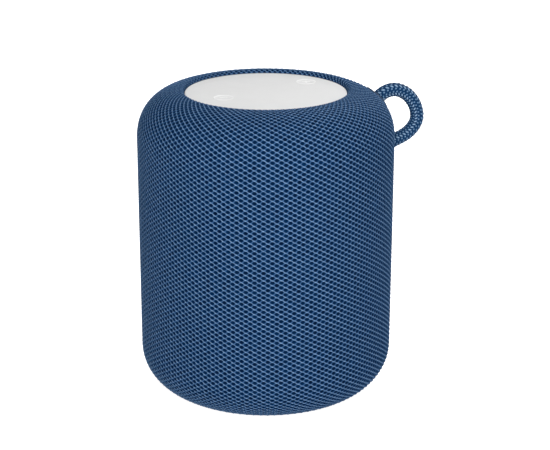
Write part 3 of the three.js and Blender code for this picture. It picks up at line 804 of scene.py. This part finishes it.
def add_keys():
    """Round keys, each with a raised rim and a raised sign in a brighter white; on the rim the brighter white
    is a painted highlight along its edge.
    """
    face = PANEL_TOP
    flange = face - PANEL_THICKNESS - GAP
    rim = 0.09
    profile = rounded([
        (0, face), (KEY_RADIUS - 0.46, face), (KEY_RADIUS - 0.4, face + rim),
        (KEY_RADIUS - 0.08, face + rim), (KEY_RADIUS, face - 0.1), (KEY_RADIUS, flange), (4.5, flange),
        (4.5, flange - 0.7), (1.5, flange - 0.7), (1.5, flange - 0.95), (0, flange - 0.95),
    ], 0.06, 2)
    half, thick = 1.4, 0.24  # the signs' half length and half thickness
    dash = [(-half, -thick), (half, -thick), (half, thick), (-half, thick)]
    cross = []
    for a, b in ((1, 0), (0, 1), (-1, 0), (0, -1)):
        cross += [(a * half + b * thick, b * half - a * thick), (a * half - b * thick, b * half + a * thick),
                  (a * thick - b * thick, b * thick + a * thick)]
    for name, (x, y) in KEYS.items():
        sign = prism(cross if name == "key_plus" else dash, face - 0.2, face + rim, 0.05)
        key = piece(name.replace("key", "volume"), *moved(joined(lathe(profile[::-1], 96), sign), x, y),
                    "white_plastic", name.replace("key_", "") + "_key", smooth_angle=50)
        # the rim's top and the sign take the brighter white; on the rim it is a painted highlight
        key.data.materials.append(MARK_AND_RIM_HIGHLIGHT)
        for polygon in key.data.polygons:
            polygon.material_index = int(polygon.center.z > (face + 0.02) * MM)
        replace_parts(key, name)


# ---- the loop's bushes ----


def surface_offset(points, out):
    """How far along out each point has to go to reach the body's surface."""
    low, high = np.full(len(points), -8.0), np.full(len(points), 4.0)
    for _ in range(30):
        middle = (low + high) / 2
        at = points + middle[:, None] * out
        inside = np.linalg.norm(at[:, :2], axis=1) < body_radius(at[:, 2])
        low, high = np.where(inside, middle, low), np.where(inside, high, middle)
    return low


def add_bushes():
    """Rubber bushes that the rope runs into, each with a thin lip that lies on the sleeve round its hole."""
    inside = 2.95
    profile = rounded([
        (inside, -6), (inside, -2.1), (4.1, 0.2), (4.7, 0.34), (5.55, 0.3), (5.65, -0.05),
        (BUSH_RADIUS, -0.3), (BUSH_RADIUS, -6), (inside, -6),
    ], 0.3)
    for place in ("top", "bottom"):
        at, out, side, up = anchor_frame(place)
        points, faces = lathe(profile, 72)
        flat = at + points[:, :1] * side + points[:, 1:2] * up
        share = np.clip((points[:, 2] + 3) / 2, 0, 1)
        height = points[:, 2] + share * surface_offset(flat, out) - (1 - share) * PIVOT_PROUD
        points = flat + height[:, None] * out
        faces = [face[::-1] for face in faces]
        name = f"loop_bush_{place}"
        bush = piece(f"rubber_{name}", points, faces, "navy_rubber", "root", smooth_angle=50)
        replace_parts(bush, name)


# ---- underneath ----


def add_base():
    """The screwed base plate, with a stepped well for each screw and a ring that locates it in the shell."""
    plate = rounded([
        (0, 1.5), (30.8, 1.5), (30.8, 4.2), (24.5, 4.2), (24.5, 6.3), (22.5, 6.3), (22.5, 4.2), (0, 4.2),
    ], 0.3)
    base = piece("base_disc", *lathe(plate, 160), "grey_plastic", "root", smooth_angle=40)
    well = lathe([(0, 0), (2.3, 0), (2.3, 3.1), (1.1, 3.1), (1.1, 5.5), (0, 5.5)], 48)
    tools = []
    for corner in range(4):
        angle = math.radians(45 + 90 * corner)
        x, y = BASE_SCREW_CIRCLE * math.cos(angle), BASE_SCREW_CIRCLE * math.sin(angle)
        tools.append(piece("tool", *moved(well, x, y), "grey_plastic", None))
    cut_with(base, tools)
    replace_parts(base, "base_plate")


def add_foot():
    """The rubber foot pad, with three grooves in its outer tread."""
    grooves = []
    for radius in (24.2, 25.8, 27.4):
        grooves += [(radius, 0), (radius + 0.15, 0.3), (radius + 0.55, 0.3), (radius + 0.7, 0)]
    pad = rounded([
        (0, 0.35), (19, 0.35), (19.5, 0), (20.5, 0), (21, 0.5), (22.5, 0.5), (23, 0), *grooves,
        (28.8, 0), (29.6, 0.8), (29.6, 1.2), (0, 1.2),
    ], 0.15, 2)
    foot = piece("rubber_foot", *lathe(pad, 160), "navy_rubber", "root", smooth_angle=50)
    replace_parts(foot, "foot_pad")


# ---- the port panel ----


def ports(x, z):
    """How far places on the port panel are from its holes, negative inside."""
    z = z - PORT_HEIGHT
    usb = rectangle_distance(x - 0.3, z, 9.5, 3.8, 1.8)
    aux = np.hypot(x + 8.6, z) - 3
    power = np.hypot(x - POWER_X, z) - 3.05
    light = np.hypot(x - POWER_X, z - LIGHT_UP) - 1.2
    microphone = np.hypot(x - POWER_X, z + 5.6) - 0.6
    return np.minimum.reduce([usb, aux, power, light, microphone])


def panel_depth(x, z):
    """How far back the panel's face is: on the body's outline, then a flat recess, then the flap's pocket."""
    ease_over = 0.3

    def share(distance):
        return smoothstep(np.clip(0.5 - distance / (2 * ease_over), 0, 1))

    face = np.sqrt(body_radius(z) ** 2 - x**2) - GAP
    recess = rectangle_distance(x, z - PORT_HEIGHT, PORT_WIDTH - 2.6, PORT_TALL - 2.6, 3)
    face += (PORT_FACE - face) * share(recess)
    pocket = rectangle_distance(x - FLAP_MIDDLE, z - PORT_HEIGHT, FLAP_WIDTH + 2 * GAP, 11.6, 1)
    return face - 1.2 * share(pocket)


def add_port_panel():
    """The panel's moulded face on a fine grid, with its holes and edges trimmed and turned in."""
    def distance(points):
        x, z = points[:, 0], points[:, 2]
        edge = rectangle_distance(x, z - PORT_HEIGHT, PORT_WIDTH, PORT_TALL, PORT_CORNER)
        return np.minimum(-edge, ports(x, z))

    def settle(points):
        points[:, 1] = panel_depth(points[:, 0], points[:, 2])
        return points

    step = 0.2
    xs = np.arange(-PORT_WIDTH / 2 - step, PORT_WIDTH / 2 + 2 * step, step)
    zs = np.arange(PORT_HEIGHT - PORT_TALL / 2 - step, PORT_HEIGHT + PORT_TALL / 2 + 2 * step, step)
    x, z = np.meshgrid(xs, zs)
    points = settle(np.stack([x.ravel(), x.ravel(), z.ravel()], 1))
    wide = len(xs)
    corner = np.arange(len(zs) * wide).reshape(len(zs), wide)[:-1, :-1].ravel()
    quads = np.stack([corner, corner + wide, corner + wide + 1, corner + 1], 1)
    quads = trim(points, quads, distance, settle)
    for depth in (0.25, 3.2):
        everywhere = np.ones(len(points), bool)
        points, quads = edge_rim(points, quads, everywhere, np.tile([0, -depth, 0], (len(points), 1)))
    used, quads = np.unique(quads, return_inverse=True)
    panel = piece("rear_panel", points[used], quads.reshape(-1, 4), "navy_rubber", "root", smooth_angle=60)
    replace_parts(panel, "port_panel")


def add_flap():
    """The cover over the sockets: a thin plate on a round hinge, with a pull lip along its lower edge."""
    back, up = FLAP_HINGE
    tall, middle = up - FLAP_BOTTOM, (up + FLAP_BOTTOM) / 2

    def block(width, height, radius, low, high, bevel, segments, z):
        raised = prism(rounded_rectangle(width, height, radius), low, high, bevel, segments)
        return to_back(moved(raised, -FLAP_MIDDLE, z, back))

    plate = block(FLAP_WIDTH, tall, 1, -FLAP_HALF, FLAP_HALF, 0.35, 3, middle)
    lip = block(8, 1.1, 0.5, 0.2, FLAP_HALF + 0.8, 0.25, 3, FLAP_BOTTOM + 1.1)
    field = block(FLAP_WIDTH - 3, tall - 5, 1, 0, FLAP_HALF + 0.16, 0.12, 2, middle + 0.4)
    end = FLAP_WIDTH / 2
    points, faces = lathe(rounded([(0, -end), (FLAP_HALF, -end), (FLAP_HALF, end), (0, end)], 0.2), 32)
    knuckle = moved((points[:, [2, 0, 1]], faces), FLAP_MIDDLE, back, up)
    flap = piece("rubber_flap", *joined(plate, lip, field, knuckle), "navy_rubber", "flap", smooth_angle=50)
    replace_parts(flap, "port_flap")


def add_power_key():
    """The power key, with its stem, and the light above it."""
    top = PORT_FACE + 0.6
    cap = rounded([
        (0, top - 0.25), (1.6, top - 0.18), (2.3, top), (2.8, top - 0.3), (2.8, 36.7), (3.8, 36.7),
        (3.8, 36.2), (1, 36.2), (1, 33.8), (0, 33.8),
    ], 0.25)
    part = to_back(moved(lathe(cap[::-1], 72), -POWER_X, PORT_HEIGHT))
    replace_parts(piece("power_button_cap", *part, "navy_rubber", "power_button", smooth_angle=50), "power_key")
    lens = rounded([(0, PORT_FACE + 0.2), (0.9, PORT_FACE), (0.9, 28.5), (0, 28.5)], 0.3)
    part = to_back(moved(lathe(lens[::-1], 40), -POWER_X, PORT_HEIGHT + LIGHT_UP))
    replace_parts(piece("light_pipe", *part, "clear_lens", "root", smooth_angle=50), "status_light")


# ---- the driver and the radiator ----


def to_front(part):
    """Turns a part whose face points up to face forwards, along -Y."""
    points, faces = part
    return np.stack([points[:, 0], -points[:, 2], points[:, 1]], 1), faces


def strip(line, skin):
    """The closed outline of a thin skin whose lower face runs along line."""
    upper = [(radius, height + skin) for radius, height in line]
    return [*line, *upper[::-1], line[0]]


def half_roll(middle, radius, lip, low):
    """The lower face of a surround: a flat lip, a half-round arch and another lip."""
    arch = [(middle - radius * math.cos(a), low + radius * math.sin(a)) for a in np.linspace(0, math.pi, 25)]
    return [(middle - radius - lip, low), *arch, (middle + radius + lip, low)]


def add_hanging(name, node_name, line, skin, slot, turn):
    """A thin ring that hangs between the frame and a moving part.
"""
    points, faces = turn(lathe(strip(line, skin), 96))
    made = piece(name, points + np.array([0, 0, DRIVER_HEIGHT]), faces, slot, None, smooth_angle=50)
    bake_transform(made)
    away = np.hypot(points[:, 0], points[:, 2])
    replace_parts(made, node_name)


def add_rings():
    """The driver's spider and surround, and the radiator's surround."""
    waves = []
    for radius in np.linspace(8.9, 15.3, 61):
        waves.append((radius, 20.4 + 0.35 * math.sin(2 * math.pi * (radius - 8.9) / 1.6)))
    driver_roll = half_roll(19.5, 1.6, 1.2, DRIVER_RIM + 1.9)
    radiator_roll = half_roll(18, 1.6, 1.4, RADIATOR_FACE + 2.3)
    add_hanging("cloth_spider", "driver_spider", waves, 0.35, "spider_cloth",
                to_front)
    add_hanging("rubber_surround", "driver_surround", driver_roll, 0.5, "surround_rubber",
                to_front)
    add_hanging("rubber_radiator_surround", "radiator_surround", radiator_roll, 0.5, "surround_rubber",
                to_back)


def add_turned(name, node_name, slot, body, turn, radius, profile):
    """A turned part on the driver's axis, with its outline's corners rounded to radius."""
    points, faces = turn(lathe(rounded(profile, radius), 96))
    made = piece(name, points + np.array([0, 0, DRIVER_HEIGHT]), faces, slot, body, smooth_angle=50)
    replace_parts(made, node_name)


def add_driver():
    """The driver's turned parts, finer than in the CAD."""
    rim = DRIVER_RIM
    cone = [(8.9, 26.4), (8.9, 25.8), (13, 28.9), (17.9, rim + 0.9), (17.9, rim + 1.6), (17.4, rim + 1.6),
            (12.9, 29.6), (8.9, 26.4)]
    coil = [(8, 10.5), (8.6, 10.5), (8.6, 26.2), (8, 26.2), (8, 10.5)]
    cap = [(0, 29.6), (3, 29.2), (6, 28.2), (8.4, 26.7), (8.9, 27.1), (6.2, 28.8), (3.1, 29.9), (0, 30.3)]
    magnet = [(0, 2), (15, 2), (16, 3), (16, 8), (15.2, 8.3), (15.2, 13.2), (16, 13.5), (16, 16.5),
              (9.3, 16.5), (9.3, 6), (7.5, 6), (7.5, 18), (0, 18)]
    add_turned("paper_cone", "driver_cone", "cone_paper", "driver_diaphragm", to_front, 0.15, cone)
    add_turned("wound_coil", "voice_coil", "coil_copper", "driver_diaphragm", to_front, 0.1, coil)
    add_turned("domed_cap", "dust_cap", "cone_paper", "driver_diaphragm", to_front, 0.8, cap)
    add_turned("stepped_magnet", "driver_magnet", "magnet_steel", "root", to_front, 0.5, magnet)


def add_radiator():
    """The radiator's weighted plate."""
    face = RADIATOR_FACE
    plate = [(0, face + 0.2), (15.2, face + 0.2), (15.8, face + 0.8), (15.8, face + 2), (13.5, face + 2),
             (13, face + 1.6), (4, face + 1.6), (3.5, face + 2), (0, face + 2)]
    add_turned("weighted_plate", "radiator_plate", "sheet_steel", "radiator_diaphragm", to_back, 0.4, plate)


# ---- the CAD's own nodes ----


def finish_cad_nodes():
    """Gives each CAD node its slot's material and smooth shading with sharp edges."""
    for row in frame["record"]["subparts"]:
        mesh = frame["nodes"][row["node"]].data
        mesh.materials.clear()
        mesh.materials.append(MATERIALS[row["material_slot"]])
        mesh.polygons.foreach_set("use_smooth", np.ones(len(mesh.polygons), bool))
        mesh.set_sharp_from_angle(angle=math.radians(28))


# ---- lights and stage ----


def add_area(name, at, width, height, power):
    """A rectangular area light that faces the middle of the body."""
    towards = (0, 0, 0.06)
    data = bpy.data.lights.new(name, "AREA")
    data.shape = "RECTANGLE"
    data.size, data.size_y = width, height
    data.energy = power
    light = bpy.data.objects.new(name, data)
    light.location = at
    light.rotation_euler = (Vector(towards) - Vector(at)).to_track_quat("-Z", "Y").to_euler()
    bpy.context.scene.collection.objects.link(light)
    return light


def add_stage():
    """A pale floor, a white surround and soft studio light."""
    scene = bpy.context.scene
    scene.view_settings.view_transform = "Standard"
    world = bpy.data.worlds.new("studio")
    scene.world = world
    world.use_nodes = True
    tree = world.node_tree
    seen = node(tree, "LightPath").node.outputs["Is Camera Ray"]
    tree.nodes["Background"].inputs["Color"].default_value = (1, 1, 1, 1)
    tree.links.new(ease(tree, seen, 0, 1, 0.09, 1.05), tree.nodes["Background"].inputs["Strength"])

    half = 3
    corners = [(-half, -half, 0), (half, -half, 0), (half, half, 0), (-half, half, 0)]
    mesh = bpy.data.meshes.new("floor")
    mesh.from_pydata(corners, [], [(0, 1, 2, 3)])
    floor = bpy.data.objects.new("floor", mesh)
    scene.collection.objects.link(floor)
    made, tree, shader = new_material("floor", Roughness=0.9, Specular_IOR_Level=0.1)
    shader.inputs["Base Color"].default_value = (0.82, 0.82, 0.82, 1)
    shader.inputs["Emission Color"].default_value = (1, 1, 1, 1)
    seen = node(tree, "LightPath").node.outputs["Is Camera Ray"]
    tree.links.new(ease(tree, seen, 0, 1, 0, 0.88), shader.inputs["Emission Strength"])
    mesh.materials.append(made)


def add_lights():
    """Soft boxes in front and above, a faint strip at each side, and a dull light behind."""
    add_area("front_box", (0, -1.2, 0.4), 0.7, 0.7, 12.8)
    add_area("left_strip", (-0.61, -0.73, 0.2), 0.1, 0.9, 0.7)
    add_area("right_strip", (0.61, -0.73, 0.2), 0.1, 0.9, 1.1)
    add_area("high_front_box", (0, -0.7, 0.95), 0.6, 0.6, 5.2)
    add_area("high_rear_box", (0.45, 0.65, 0.75), 0.5, 0.5, 6)
    behind = add_area("rear_box", (0, 1.2, 0.4), 0.7, 0.7, 6)
    behind.visible_glossy = False


add_camera()
MATERIALS = make_materials()
# brighter white for the keys' signs, and a painted highlight on their rims
MARK_AND_RIM_HIGHLIGHT = speckled("mark_and_rim_highlight_white", (0.9, 0.9, 0.9), (0.95, 0.95, 0.95), (0.35, 0.45), grain=2600, depth=0.00001)
add_loop()
add_sleeve()
add_top_panel()
add_keys()
add_bushes()
add_base()
add_foot()
add_port_panel()
add_flap()
add_power_key()
add_rings()
add_driver()
add_radiator()
finish_cad_nodes()
add_stage()
add_lights()
